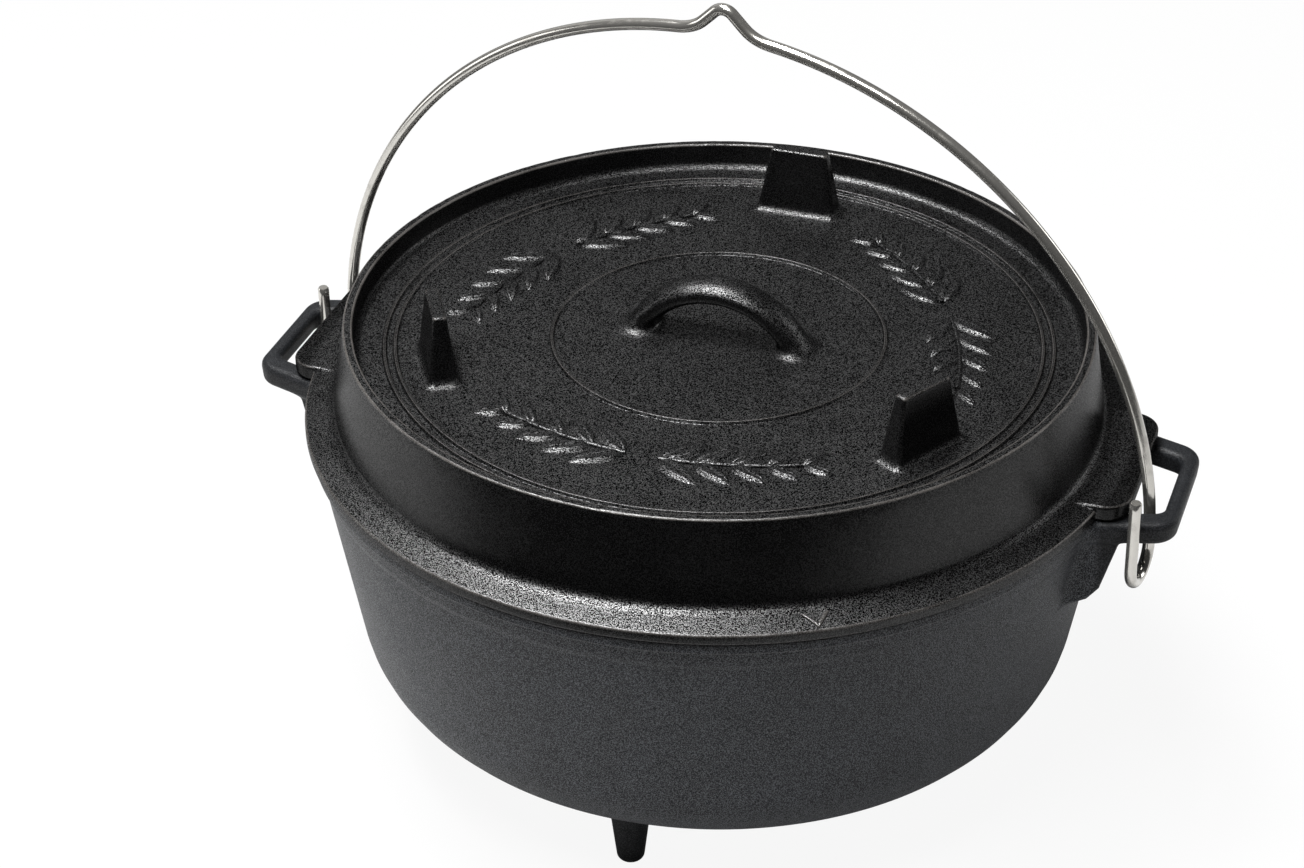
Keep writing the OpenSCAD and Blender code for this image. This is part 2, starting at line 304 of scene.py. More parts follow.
def cast_iron(name, skin, sheen, gloss, pit_gloss, grain, worn, crest_worn, side_smooth):
    """Iron by skin colour, roughness, gloss of grains and pits, grain depth in mm, wear, smooth sides,
    painted shade.
    """
    material, tree = new_material(name)
    place = tree.node("ShaderNodeTexCoord", out="Object")

    def noise(per_metre, detail):
        return tree.node("ShaderNodeTexNoise", None, out="Fac", Vector=place, Scale=per_metre, Detail=detail)

    pebbles = noise(PEBBLES_PER_M, 1.0)
    fine = noise(SPECKS_PER_M, 0.0)
    patches = noise(PATCHES_PER_M, 3.0)
    clouds = noise(CLOUDS_PER_M, 2.0)
    edge = tree.node("ShaderNodeAttribute", {"attribute_name": "edge"}, out="Fac")

    upward = tree.node("ShaderNodeAttribute", {"attribute_name": "upward"}, out="Fac")
    smooth = (1.0 - tree.ramp(upward, 0.1, 0.55)) * side_smooth

    def tone(share):
        return tuple(c * share for c in skin) + (1.0,)

    mottled = tree.ramp(patches * 0.6 + clouds * 0.4, 0.35, 0.68)
    grains = tree.ramp(pebbles * 0.65 + fine * 0.35, 0.47, 0.58)
    pit_colour = tree.mix(mottled, tone(0.2), tone(0.4))
    grain_colour = tree.mix(mottled, tone(1.7), tone(2.2))
    colour = tree.mix(grains, pit_colour, grain_colour)
    speck = tree.ramp(fine, 0.66, 0.78)
    colour = tree.mix(speck * 0.5, colour, tone(4.0))
    x, y, z = [tree.node("ShaderNodeSeparateXYZ", None, place, out=axis) for axis in "XYZ"]
    reach = (x * x + y * y).math("SQRT")
    # Painted shade: the feet and the bowl's underside get darker towards the ground, where the pot shades
    # them.
    painted_foot_shade = 1.0 - tree.ramp(z, FOOT_SHADE_LOW_Z * MM, FOOT_SHADE_HIGH_Z * MM)
    # Painted shade: the parts reaching out past the brim (ears, loops, brim edge) and the feet, which lie in
    # shade.
    painted_shade = tree.ramp(reach, (BRIM_R - 1.0) * MM, (BRIM_R + 3.0) * MM).math("MAXIMUM", painted_foot_shade)
    far_out = tree.ramp(reach, tray_r * MM - 3.0 * MM, tray_r * MM - 1.0 * MM)
    on_crest = far_out * tree.ramp(z, (CREST_Z - 1.2) * MM, (CREST_Z - 0.2) * MM)
    rubbed = tree.ramp(edge + (patches - 0.5) * 0.9 + (pebbles - 0.5) * 0.5, 0.55, 1.15)
    wear = rubbed * (on_crest * (crest_worn - worn) + worn)
    # The painted shade darkens the colour of those parts.
    colour = tree.mix(painted_shade * 0.8, colour, tone(0.1))
    colour = tree.mix(wear, colour, WORN_COLOUR)
    # Painted shade in hollows and inner corners, where the edge number is below zero.
    painted_hollow_shade = tree.ramp(0.0 - edge, 0.15, 0.9)
    colour = tree.mix(painted_hollow_shade * 0.45, colour, tone(0.4))

    rough = sheen + (patches - 0.5) * 0.14 + (pebbles - 0.5) * 0.30 - wear * 0.12 - smooth * 0.10
    height = (pebbles * 0.7 + fine * 0.3) * (1.0 - smooth * 0.7) + patches * 0.5
    bump = tree.node("ShaderNodeBump", None, Strength=1.0, Distance=grain * MM, Height=height)
    raised = tree.node("ShaderNodeBsdfPrincipled", None, Base_Color=colour, Roughness=rough - speck * 0.12,
                       Metallic=wear * 0.5, IOR=GRAIN_IOR, Normal=bump, Specular_IOR_Level=gloss)
    pits = tree.node("ShaderNodeBsdfPrincipled", None, Base_Color=colour, Roughness=rough + 0.08, Normal=bump,
                     Specular_IOR_Level=pit_gloss)
    even = 0.28 + grains * 0.2
    # The painted shade also halves the glossy share there.
    glossy = (grains + (even - grains) * smooth) * (1.0 - painted_shade * 0.5)
    iron = tree.node("ShaderNodeMixShader", None, glossy.math("MAXIMUM", wear), pits, raised)
    tree.node("ShaderNodeOutputMaterial", None, iron)
    return material


pot_iron = cast_iron("pot_iron", (0.026, 0.028, 0.032), sheen=0.45, gloss=0.28, pit_gloss=0.12, grain=0.16,
                     worn=0.12, crest_worn=0.12, side_smooth=0.0)
lid_iron = cast_iron("lid_iron", (0.0022, 0.0022, 0.0023), sheen=0.36, gloss=0.66, pit_gloss=0.0, grain=0.13,
                     worn=0.2, crest_worn=0.28, side_smooth=0.9)

# %% Drawn steel wire
def drawn_wire(name):
    """Satin steel with faint marks along the wire and a little dull oxide in patches."""
    material, tree = new_material(name)
    place = tree.node("ShaderNodeTexCoord", out="Object")
    along = tree.node("ShaderNodeAttribute", {"attribute_name": "along"}, out="Fac")
    patches = tree.node("ShaderNodeTexNoise", None, out="Fac", Vector=place, Scale=160.0, Detail=3.0)
    pits = tree.node("ShaderNodeTexNoise", None, out="Fac", Vector=place, Scale=1500.0, Detail=1.0)
    rings = tree.node("ShaderNodeTexNoise", {"noise_dimensions": "1D"}, out="Fac", W=along, Scale=700.0,
                      Detail=2.0)
    dull = tree.ramp(patches, 0.48, 0.72)
    colour = tree.mix(dull * 0.35, (0.55, 0.535, 0.50, 1.0), (0.28, 0.265, 0.24, 1.0))
    rough = 0.16 + dull * 0.10 + (rings - 0.5) * 0.06
    bump = tree.node("ShaderNodeBump", None, Strength=0.05, Distance=0.08 * MM, Height=pits + rings)
    steel = tree.node("ShaderNodeBsdfPrincipled", None, Base_Color=colour, Roughness=rough, Metallic=0.92,
                      Normal=bump)
    tree.node("ShaderNodeOutputMaterial", None, steel)
    return material


bail_steel = drawn_wire("bail_steel")
print("finishes:", pot_iron.name, lid_iron.name, bail_steel.name)

# %% [markdown]
# ## Outlines for the lathe
# The bowl and the lid are bodies of revolution: one outline turned round the vertical axis. An outline is
# written as corners with a radius each, the way a pattern maker dimensions one, and arcs and short straight
# runs fill it in.

# %% Corners with radii to a smooth outline
STRAIGHT_STEP = 4.0
ARC_STEP = math.radians(9.0)


def corner_arc(before, here, after, radius):
    """Points of the arc that rounds the corner at here."""
    back = (before - here) / np.linalg.norm(before - here)
    on = (after - here) / np.linalg.norm(after - here)
    half = 0.5 * math.acos(np.clip(back @ on, -1.0, 1.0))
    middle = here + (back + on) / np.linalg.norm(back + on) * radius / math.sin(half)
    first = here + back * radius / math.tan(half) - middle
    sweep = math.pi - 2.0 * half
    turn = math.copysign(sweep, back[1] * on[0] - back[0] * on[1])
    count = max(3, math.ceil(sweep / ARC_STEP))
    angles = turn * np.arange(count + 1) / count
    across = np.array((-first[1], first[0]))
    return [middle + first * math.cos(a) + across * math.sin(a) for a in angles]


def rounded_outline(corners):
    """A fine outline through corners of (radius from the axis, height, rounding)."""
    points = []
    for index, (r, z, rounding) in enumerate(corners):
        here = np.array((r, z), float)
        arc = [here]
        if rounding:
            before = np.array(corners[index - 1][:2], float)
            after = np.array(corners[index + 1][:2], float)
            arc = corner_arc(before, here, after, rounding)
        if points:
            gap = arc[0] - points[-1]
            steps = math.ceil(np.linalg.norm(gap) / STRAIGHT_STEP)
            start = points[-1]
            points += [start + gap * k / steps for k in range(1, steps)]
        points += arc
    return np.array(points)


def outline_edges(points):
    """How convex each point of an outline is: the turn there, over about a millimetre, from -1 to 1."""
    run = np.diff(points, axis=0)
    heading = np.unwrap(np.arctan2(run[:, 1], run[:, 0]))
    length = np.linalg.norm(run, axis=1)
    bend = np.zeros(len(points))
    bend[1:-1] = -np.diff(heading) / (0.5 * (length[1:] + length[:-1]))
    return np.clip(bend * 1.2, -1.0, 1.0)


# %% [markdown]
# ## The lathe
# A lathe follows a rule, so it is a Geometry Nodes tree: a grid has a row for each outline point and a
# column for each step of the turn, and every grid point moves to its row's radius and height. Its inputs
# are the number of rows and steps, and how deep the knocks are that chip a worn edge. The same tree turns
# the bowl and the lid.

# %% The lathe as a node tree
class ShapeTree(Tree):
    """A Geometry Nodes tree with named inputs."""

    def __init__(self, name):
        super().__init__(bpy.data.node_groups.new(name, "GeometryNodeTree"))
        self.entry = self.nodes.nodes.new("NodeGroupInput")
        self.exit = self.nodes.nodes.new("NodeGroupOutput")

    def takes(self, name, kind):
        self.nodes.interface.new_socket(name=name, in_out="INPUT", socket_type="NodeSocket" + kind)
        return Value(self, self.entry.outputs[name])

    def gives(self, shape, material):
        """Ends the tree in Realize Instances and Set Material."""
        self.nodes.interface.new_socket(name="Shape", in_out="OUTPUT", socket_type="NodeSocketGeometry")
        real = self.node("GeometryNodeRealizeInstances", None, shape)
        done = self.node("GeometryNodeSetMaterial", None, Geometry=real, Material=material)
        self.feed(self.exit.inputs["Shape"], done)


def lathe_tree():
    tree = ShapeTree("lathe")
    outline = tree.takes("Outline", "Geometry")
    rows = tree.takes("Rows", "Int")
    steps = tree.takes("Steps", "Int")
    chip_depth = tree.takes("Chip depth", "Float")
    chip_above = tree.takes("Chip above", "Float")
    finish = tree.takes("Finish", "Material")

    columns = steps + 1
    grid = tree.node("GeometryNodeMeshGrid", None, 1.0, 1.0, rows, columns)
    index = tree.node("GeometryNodeInputIndex")
    row = (index / columns).math("FLOOR")
    angle = (index - row * columns) * (2.0 * math.pi) / steps
    place = tree.node("GeometryNodeInputPosition")
    on_outline = tree.node("GeometryNodeSampleIndex", {"data_type": "FLOAT_VECTOR"}, outline, place, row)
    r = tree.node("ShaderNodeSeparateXYZ", None, on_outline, out="X")
    z = tree.node("ShaderNodeSeparateXYZ", None, on_outline, out="Z")
    turned = tree.node("ShaderNodeCombineXYZ", None, r * angle.math("COSINE"), r * angle.math("SINE"), z)
    edge_in = tree.node("GeometryNodeInputNamedAttribute", {"data_type": "FLOAT"}, "edge")
    edge = tree.node("GeometryNodeSampleIndex", {"data_type": "FLOAT"}, outline, edge_in, row)
    shape = tree.node("GeometryNodeSetPosition", None, Geometry=grid, Position=turned)
    shape = tree.node("GeometryNodeStoreNamedAttribute", {"data_type": "FLOAT"}, Geometry=shape, Name="edge",
                      Value=edge)
    shape = tree.node("GeometryNodeMergeByDistance", None, Geometry=shape, Distance=1e-6)

    knocks = tree.node("ShaderNodeTexNoise", None, out="Fac", Vector=place, Scale=330.0, Detail=2.0)
    height = tree.node("ShaderNodeSeparateXYZ", None, place, out="Z")
    depth = tree.ramp(height, chip_above, chip_above + 2.0 * MM) * tree.ramp(knocks, 0.5, 0.8) * chip_depth
    normal = tree.node("GeometryNodeInputNormal")
    offset = tree.node("ShaderNodeVectorMath", {"operation": "SCALE"}, Vector=normal, Scale=0.0 - depth)
    shape = tree.node("GeometryNodeSetPosition", None, Geometry=shape, Offset=offset)
    shape = tree.node("GeometryNodeSetShadeSmooth", None, shape)
    tree.gives(shape, finish)
    return tree.nodes


lathe = lathe_tree()

# %% From a tree to a plain mesh
def add_attribute(mesh, name, values):
    attribute = mesh.attributes.new(name, "FLOAT", "POINT")
    attribute.data.foreach_set("value", np.asarray(values, np.float32))


def face_outwards(mesh):
    """Turns a closed mesh the right way out, by the sign of its volume."""
    mesh.calc_loop_triangles()
    corners = np.zeros(len(mesh.vertices) * 3)
    mesh.vertices.foreach_get("co", corners)
    corners = corners.reshape(-1, 3)
    thirds = np.zeros(len(mesh.loop_triangles) * 3, np.int32)
    mesh.loop_triangles.foreach_get("vertices", thirds)
    a, b, c = np.moveaxis(corners[thirds.reshape(-1, 3)], 1, 0)
    volume = np.einsum("ij,ij->i", a, np.cross(b, c)).sum() / 6.0
    if volume < 0:
        mesh.flip_normals()
    return abs(volume)


def new_object(name, mesh):
    made = bpy.data.objects.new(name, mesh)
    scene.collection.objects.link(made)
    return made


def finished(name, mesh):
    """An object of a closed mesh that faces outwards and knows how far each of its points faces up."""
    volume = face_outwards(mesh)
    normals = np.zeros(len(mesh.vertices) * 3, np.float32)
    mesh.vertices.foreach_get("normal", normals)
    add_attribute(mesh, "upward", normals[2::3])
    print(f"{name}: {len(mesh.polygons)} faces, {volume * 1e6:.2f} cm3")
    return new_object(name, mesh)


def grown(name, start, tree, inputs):
    """Runs a Geometry Nodes tree on a start mesh or curve and keeps the result as a plain mesh object."""
    seed = new_object(name + "_seed", start)
    modifier = seed.modifiers.new("tree", "NODES")
    modifier.node_group = tree
    for item in tree.interface.items_tree:
        if item.in_out == "INPUT" and item.name in inputs:
            modifier[item.identifier] = inputs[item.name]
    evaluated = seed.evaluated_get(bpy.context.evaluated_depsgraph_get())
    mesh = bpy.data.meshes.new_from_object(evaluated)
    mesh.name = name
    bpy.data.objects.remove(seed)
    return finished(name, mesh)


LATHE_STEPS = 288


def turned_piece(name, corners, material, chip_depth=0.0, chip_above=0.0):
    """A casting turned on the lathe from its outline."""
    points = rounded_outline(corners)
    start = bpy.data.meshes.new(name + "_outline")
    start.from_pydata([(r * MM, 0.0, z * MM) for r, z in points], [], [])
    add_attribute(start, "edge", outline_edges(points))
    inputs = {"Rows": len(points), "Steps": LATHE_STEPS, "Chip depth": chip_depth * MM,
              "Chip above": chip_above * MM, "Finish": material}
    return grown(name, start, lathe, inputs)


# %% [markdown]
# ## Handing a piece over
# Each finished piece rides on the body it belongs to and hides the measured solids that it stands for. One
# helper does both, so no piece is forgotten.

# %% A piece on its body
def hand_over(piece, body, slot, *nodes):
    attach(piece, body)
    if nodes:
        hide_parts(*nodes)


# %% [markdown]
# ## The bowl
# The pot's wall flares from a broad round corner to a rim with a thin bead. Just under the bead the wall
# has a soft step.

# %% Turn the bowl
STEP_Z = 126.0
STEP_OUT = 0.5
inner_foot_r = wall_radius(FLOOR_Z + FLOOR_T) - WALL_T / math.cos(WALL_LEAN)
mouth_r = WALL_TOP_R - WALL_T / math.cos(WALL_LEAN)
bead_low_z = RIM_Z - BEAD_H
bowl_corners = [
    (0.0, FLOOR_Z + FLOOR_T, 0.0),
    (inner_foot_r, FLOOR_Z + FLOOR_T, CORNER_R - WALL_T),
    (mouth_r, RIM_Z, 1.6),
    (BEAD_R, RIM_Z, 1.2),
    (BEAD_R, bead_low_z, 0.8),
    (wall_radius(bead_low_z) + STEP_OUT, bead_low_z, 0.5),
    (wall_radius(STEP_Z + 1.2) + STEP_OUT, STEP_Z + 1.2, 2.0),
    (wall_radius(STEP_Z - 1.2), STEP_Z - 1.2, 2.0),
    (wall_radius(FLOOR_Z), FLOOR_Z, CORNER_R),
    (0.0, FLOOR_Z, 0.0),
]
bowl = turned_piece("pot_bowl_casting", bowl_corners, pot_iron)
hand_over(bowl, "pot", "pot_iron", "pot_bowl")

# %% [markdown]
# ## The lid
# The lid is a tray: a flat plate inside a raised crest, a skirt that widens down to a sloping brim, and a
# short lip that drops into the pot's mouth. The crest is the edge that gets knocked, so it has small chips.

# %% Turn the lid
LIP_Z = 134.5
LIP_R = 145.3
UNDER_Z = PLATE_Z - PLATE_T
BRIM_SLOPE_W = 8.0
skirt_wall = SKIRT_T / math.cos(SKIRT_LEAN)
RING_HIGH = 1.1
RING_HALF = 1.0
RING_TOP_HALF = 0.4
RING_ROUND = 0.3


def raised_ring(r):
    """Corners of a low round ring on the plate, from its inner side to its outer side."""
    top_z = PLATE_Z + RING_HIGH
    profile = [(-RING_HALF, PLATE_Z), (-RING_TOP_HALF, top_z), (RING_TOP_HALF, top_z), (RING_HALF, PLATE_Z)]
    return [(r + across, z, RING_ROUND) for across, z in profile]


lid_corners = [
    (0.0, PLATE_Z, 0.0),
    *raised_ring(62.0),
    *raised_ring(120.0),
    *raised_ring(124.0),
    (tray_r, PLATE_Z, 3.2),
    (tray_r + 0.2, CREST_Z, 0.9),
    (crest_r, CREST_Z, 0.9),
    (SKIRT_R, SKIRT_Z, 4.0),
    (BRIM_R - BRIM_SLOPE_W, EAR_Z, 2.0),
    (BRIM_R, BRIM_Z, 1.1),
    (BRIM_R, LID_Z, 0.8),
    (LIP_R, LID_Z, 0.8),
    (LIP_R, LIP_Z, 0.8),
    (skirt_radius(LIP_Z) - skirt_wall, LIP_Z, 0.8),
    (skirt_radius(UNDER_Z) - skirt_wall, UNDER_Z, 5.0),
    (0.0, UNDER_Z, 0.0),
]
lid = turned_piece("lid_casting", lid_corners, lid_iron, chip_depth=0.35, chip_above=CREST_Z - 2.0)
hand_over(lid, "lid", "lid_iron", "lid_plate", "lid_skirt", "lid_brim")

# %% [markdown]
# ## Cast-on features
# Feet, loops, ears, legs and the grip grow out of their castings with soft fillets, as molten iron fills a
# mould. Bevels struggle where such shapes meet a cone. Distance fields don't: each shape is a function that
# says how far a point is from it, a smooth minimum blends two of them with a fillet, and a mesh is laid on
# the zero surface.

# %% Fields: blend, round, extrude
def blend(a, b, reach):
    """The union of two fields with a fillet where they meet."""
    if reach <= 0:
        return np.minimum(a, b)
    near = np.clip(reach - np.abs(a - b), 0.0, None) / reach
    return np.minimum(a, b) - near * near * reach / 4.0


def common(a, b, reach):
    """The intersection of two fields with a rounded edge."""
    return -blend(-a, -b, reach)


def polygon_distance(corners, x, y):
    """Signed distance in a plane to a polygon, below zero inside."""
    corners = np.asarray(corners, float)
    best = np.full(x.shape, np.inf)
    sign = np.ones(x.shape)
    for (ax, ay), (bx, by) in zip(corners, np.roll(corners, 1, axis=0)):
        ex, ey = bx - ax, by - ay
        wx, wy = x - ax, y - ay
        along = np.clip((wx * ex + wy * ey) / (ex * ex + ey * ey), 0.0, 1.0)
        best = np.minimum(best, (wx - ex * along) ** 2 + (wy - ey * along) ** 2)
        above_a = y >= ay
        below_b = y < by
        left = ex * wy > ey * wx
        crossing = (above_a & below_b & left) | (~above_a & ~below_b & ~left)
        sign = np.where(crossing, -sign, sign)
    return sign * np.sqrt(best)


def thick(plan, height, rounding):
    """A plan distance and a height distance as one solid with rounded edges."""
    a = plan + rounding
    b = height + rounding
    outside = np.hypot(np.clip(a, 0.0, None), np.clip(b, 0.0, None))
    return outside + np.minimum(np.maximum(a, b), 0.0) - rounding


# %% [markdown]
# The mesher is a surface net: it samples the field on a grid, puts one point in every cell that the surface
# passes through, joins neighbours with quads, and slides the points along the field's slope until they lie
# on the surface.

# %% A mesh on the zero surface of a field
def net_points(values):
    """For every grid cell, how many of its edges cross the surface, and the mean of the crossings."""
    counts = np.array(values.shape)
    cells = counts - 1
    total = np.zeros((*cells, 3))
    hits = np.zeros(cells)
    for axis in range(3):
        low = np.take(values, np.arange(cells[axis]), axis)
        high = np.take(values, np.arange(1, counts[axis]), axis)
        cross = (low < 0) != (high < 0)
        share = np.where(cross, low / np.where(cross, low - high, 1.0), 0.0)
        place = np.stack(np.indices(low.shape), axis=-1).astype(float)
        place[..., axis] += share
        place *= cross[..., None]
        sides = [(axis + 1) % 3, (axis + 2) % 3]
        for shift in [(0, 0), (0, 1), (1, 0), (1, 1)]:
            window = [slice(None)] * 3
            for side, by in zip(sides, shift):
                window[side] = slice(by, by + cells[side])
            total += place[tuple(window)]
            hits += cross[tuple(window)]
    return hits, total / np.maximum(hits, 1)[..., None]


def net_faces(values, numbers):
    """A quad for every grid edge that crosses the surface, facing out of the solid."""
    quads = []
    for axis in range(3):
        u, v = (axis + 1) % 3, (axis + 2) % 3
        window = [slice(1, -1)] * 3
        window[axis] = slice(0, -1)
        low = values[tuple(window)]
        window[axis] = slice(1, None)
        high = values[tuple(window)]
        at = np.argwhere((low < 0) != (high < 0))
        outward = low[tuple(at.T)] < 0
        base = at.copy()
        base[:, u] += 1
        base[:, v] += 1
        ring = []
        for du, dv in [(-1, -1), (0, -1), (0, 0), (-1, 0)]:
            cell = base.copy()
            cell[:, u] += du
            cell[:, v] += dv
            ring.append(numbers[tuple(cell.T)])
        quad = np.stack(ring, axis=1)
        quad[~outward] = quad[~outward][:, ::-1]
        quads.append(quad)
    return np.concatenate(quads)


def slope(field, points, step=0.02):
    """The field and its gradient at some points."""
    shifts = np.eye(3) * step
    gradient = [(field(points + s) - field(points - s)) / (2.0 * step) for s in shifts]
    return field(points), np.stack(gradient, axis=1)


EDGE_REACH = 0.7


def edge_amount(field, points):
    """How convex the surface is at some points, from -1 in a tight hollow to 1 on a tight edge."""
    near = sum(field(points + s) + field(points - s) for s in np.eye(3) * EDGE_REACH)
    return np.clip((near - 6.0 * field(points)) / EDGE_REACH ** 2 * 0.7, -1.0, 1.0)


def cast_piece(name, field, low, high, cell, material):
    """A closed mesh of a field inside a box, in millimetres."""
    low = np.asarray(low, float)
    counts = np.ceil((np.asarray(high, float) - low) / cell).astype(int) + 1
    grid = np.stack(np.indices(counts), axis=-1).reshape(-1, 3) * cell + low
    values = field(grid).reshape(counts)
    hits, places = net_points(values)
    numbers = np.cumsum(hits.ravel() > 0).reshape(hits.shape) - 1
    points = places[hits > 0] * cell + low
    for _ in range(3):
        value, gradient = slope(field, points)
        steep = np.maximum((gradient ** 2).sum(axis=1), 0.2)
        move = value / steep
        points -= np.clip(move, -cell, cell)[:, None] * gradient
    mesh = bpy.data.meshes.new(name)
    mesh.from_pydata(points * MM, [], net_faces(values, numbers).tolist())
    add_attribute(mesh, "edge", edge_amount(field, points))
    mesh.materials.append(material)
    mesh.shade_smooth()
    return finished(name, mesh)


# %% [markdown]
# A feature is meshed with a little of its casting. The casting's face is sunk by a hair there, so the two
# meshes never share a face, and the fillet runs out into the casting with no visible seam.

# %% A feature that grows out of its casting
SINK = 0.03
ROOT_DEPTH = 1.5


def growing(feature, host, fillet):
    """The field of a feature with its fillet and a thin root inside the host."""

    def field(points):
        own = feature(points)
        base = host(points)
        joined = blend(own, base + SINK, fillet)
        near = np.maximum(own - fillet * 1.1, -base - ROOT_DEPTH)
        return np.maximum(joined, near)

    return field


# %% [markdown]
# ## Peg feet
# Three short pegs keep the pot off the embers. Each tapers to a worn, rounded tip that is still flat enough
# to stand on, and grows out of the round corner of the bowl.

# %% Cast the three feet
FOOT_RING_R = 103.96
FOOT_ROOT_R = 8.2
FOOT_TIP_R = 5.0
FOOT_FILLET = 6.0
FOOT_BOX = 17.0
corner_mid_r = wall_radius(FLOOR_Z) + CORNER_R * math.tan(WALL_LEAN) - CORNER_R / math.cos(WALL_LEAN)


def bowl_underside(points):
    """Distance to the bowl's base and its round corner."""
    r = np.hypot(points[:, 0], points[:, 1])
    out = np.clip(r - corner_mid_r, 0.0, None)
    return np.hypot(out, points[:, 2] - FLOOR_Z - CORNER_R) - CORNER_R


def peg(x, y):
    """A tapered peg under the bowl, with a rounded tip on the ground."""
    taper = (FOOT_ROOT_R - FOOT_TIP_R) / FLOOR_Z
    lean = math.cos(math.atan(taper))

    def field(points):
        z = points[:, 2]
        side = (np.hypot(points[:, 0] - x, points[:, 1] - y) - FOOT_TIP_R - taper * z) * lean
        return common(thick(side, -z, 2.2), z - FLOOR_Z - 6.0, 0.0)

    return field


for side, angle in [("front", -90), ("right", 30), ("left", 150)]:
    x = FOOT_RING_R * math.cos(math.radians(angle))
    y = FOOT_RING_R * math.sin(math.radians(angle))
    low = (x - FOOT_BOX, y - FOOT_BOX, -1.5)
    high = (x + FOOT_BOX, y + FOOT_BOX, FLOOR_Z + 6)
    field = growing(peg(x, y), bowl_underside, FOOT_FILLET)
    foot = cast_piece("peg_foot_" + side, field, low, high, 0.7, pot_iron)
    hand_over(foot, "pot", "pot_iron", "pot_foot_" + side)

# %% [markdown]
# ## Side loops
# At each side a flat loop carries the bail. It was cast with a parting line part of the way up, so its
# sides draw in a little above and below that line, and two ribs in line with its side bars carry the load
# down into the wall.

# %% Sizes of a loop
LOOP_END_X = 179.0
LOOP_ROOT_W = 69.0
LOOP_TURN = math.radians(17.1)
LOOP_TOP_Z = 137.5
LOOP_LOW_Z = 128.5
LOOP_CORNER_R = 10.0
SIDE_BAR_W = 9.4
END_BAR_W = 6.0
BAR_ROUND = 2.2
PARTING_Z = 134.6
DRAFT = math.tan(math.radians(5.0))
RIB_T = 6.0
RIB_DROP = 28.0
RIB_OUT = 6.7
RIB_IN = 1.2
PAST = 30.0
LOOP_FILLET = 3.0
LOOP_INNER_X = 120.0
LOOP_BOX = ((138, -44, 92), (180, 44, 139))


def loop_plan(side_inset, end_inset, rounding):
    """Corners of a loop's plan, pulled in by an inset and by a rounding that is added back later."""
    root_x = BEAD_R - PAST
    end_x = LOOP_END_X - end_inset - rounding
    root_y = LOOP_ROOT_W / 2 + PAST * math.tan(LOOP_TURN) - (side_inset + rounding) / math.cos(LOOP_TURN)
    end_y = root_y - (end_x - root_x) * math.tan(LOOP_TURN)
    return [(root_x, -root_y), (end_x, -end_y), (end_x, end_y), (root_x, root_y)]


# %% Cast the two loops
def bowl_side(points):
    """Distance to the bowl's outer wall, its step and its bead."""
    r = np.hypot(points[:, 0], points[:, 1])
    z = points[:, 2]
    cone = (r - WALL_TOP_R + (RIM_Z - z) * math.tan(WALL_LEAN)) * math.cos(WALL_LEAN)
    step = common(cone - STEP_OUT, STEP_Z - z, 2.0)
    bead = thick(r - BEAD_R, np.maximum(bead_low_z - z, z - RIM_Z), 0.9)
    return np.minimum(np.minimum(cone, step), bead)


def side_bar_y(x):
    """Distance from the middle plane to the middle of a side bar."""
    return LOOP_ROOT_W / 2 - (x - BEAD_R) * math.tan(LOOP_TURN) - SIDE_BAR_W / 2 / math.cos(LOOP_TURN)


def loop_bars(x, y, z):
    """The loop itself, with round corners in plan, rounded edges and a draft from the parting line."""
    draw = np.abs(z - PARTING_Z) * DRAFT
    hole_r = LOOP_CORNER_R / 2
    outside = polygon_distance(loop_plan(0.0, 0.0, LOOP_CORNER_R), x, y) - LOOP_CORNER_R + draw
    hole = polygon_distance(loop_plan(SIDE_BAR_W, END_BAR_W, hole_r), x, y) - hole_r - draw
    ring = common(outside, -hole, 0.8)
    return thick(ring, np.maximum(z - LOOP_TOP_Z, LOOP_LOW_Z - z), BAR_ROUND)


def loop_rib(x, y, z):
    """The rib under the side bar at positive y."""
    over = x - BEAD_R
    aside = y - side_bar_y(BEAD_R)
    along = over * math.cos(LOOP_TURN) - aside * math.sin(LOOP_TURN)
    across = over * math.sin(LOOP_TURN) + aside * math.cos(LOOP_TURN)
    foot_z = LOOP_LOW_Z - RIB_DROP
    side_view = [
        (-PAST, LOOP_LOW_Z + 4), (RIB_OUT - 1, LOOP_LOW_Z + 4), (RIB_OUT, LOOP_LOW_Z),
        (RIB_OUT - 0.22 * RIB_DROP, foot_z + 0.25 * RIB_DROP),
        (RIB_OUT - 0.37 * RIB_DROP, foot_z + 0.08 * RIB_DROP),
        (-PAST, foot_z - PAST / 4),
    ]
    return thick(polygon_distance(side_view, along, z), np.abs(across + RIB_IN) - RIB_T / 2, 1.5)


def loop(points):
    """The loop on the right with its two ribs."""
    x, y, z = points.T
    ribs = loop_rib(x, np.abs(y), z)
    body = blend(loop_bars(x, y, z), ribs, LOOP_FILLET)
    return np.maximum(body, LOOP_INNER_X - x)


def on_left(field):
    """The same field on the other side of the pot."""
    return lambda points: field(points * np.array((-1.0, 1.0, 1.0)))


def cast_both_sides(name, field, box, cell, material):
    """A feature at the right and its mirror image at the left, each with the name of its side."""
    low, high = box
    left_low = (-high[0], *low[1:])
    left_high = (-low[0], *high[1:])
    yield "right", cast_piece(name + "_right", field, low, high, cell, material)
    yield "left", cast_piece(name + "_left", on_left(field), left_low, left_high, cell, material)


loop_field = growing(loop, bowl_side, LOOP_FILLET)
for side, piece in cast_both_sides("side_loop", loop_field, LOOP_BOX, 0.7, pot_iron):
    hand_over(piece, "pot", "pot_iron", "loop_" + side)

# %% [markdown]
# ## Ears
# At each side the brim widens into a flat ear that covers the root of the loop. The wire of the bail stands
# just outside it. The ears keep a crisp line where their flat top meets the sloping brim.

# %% Cast the two ears
EAR_X = 162.3
EAR_W = 67.0
EAR_CORNER_R = 10.0
EAR_ROOT_R = 147.3
EAR_FILLET = 0.8
EAR_BOX = ((141, -36, 136), (164, 36, 147))
BRIM_SLOPE = (EAR_Z - BRIM_Z) / BRIM_SLOPE_W


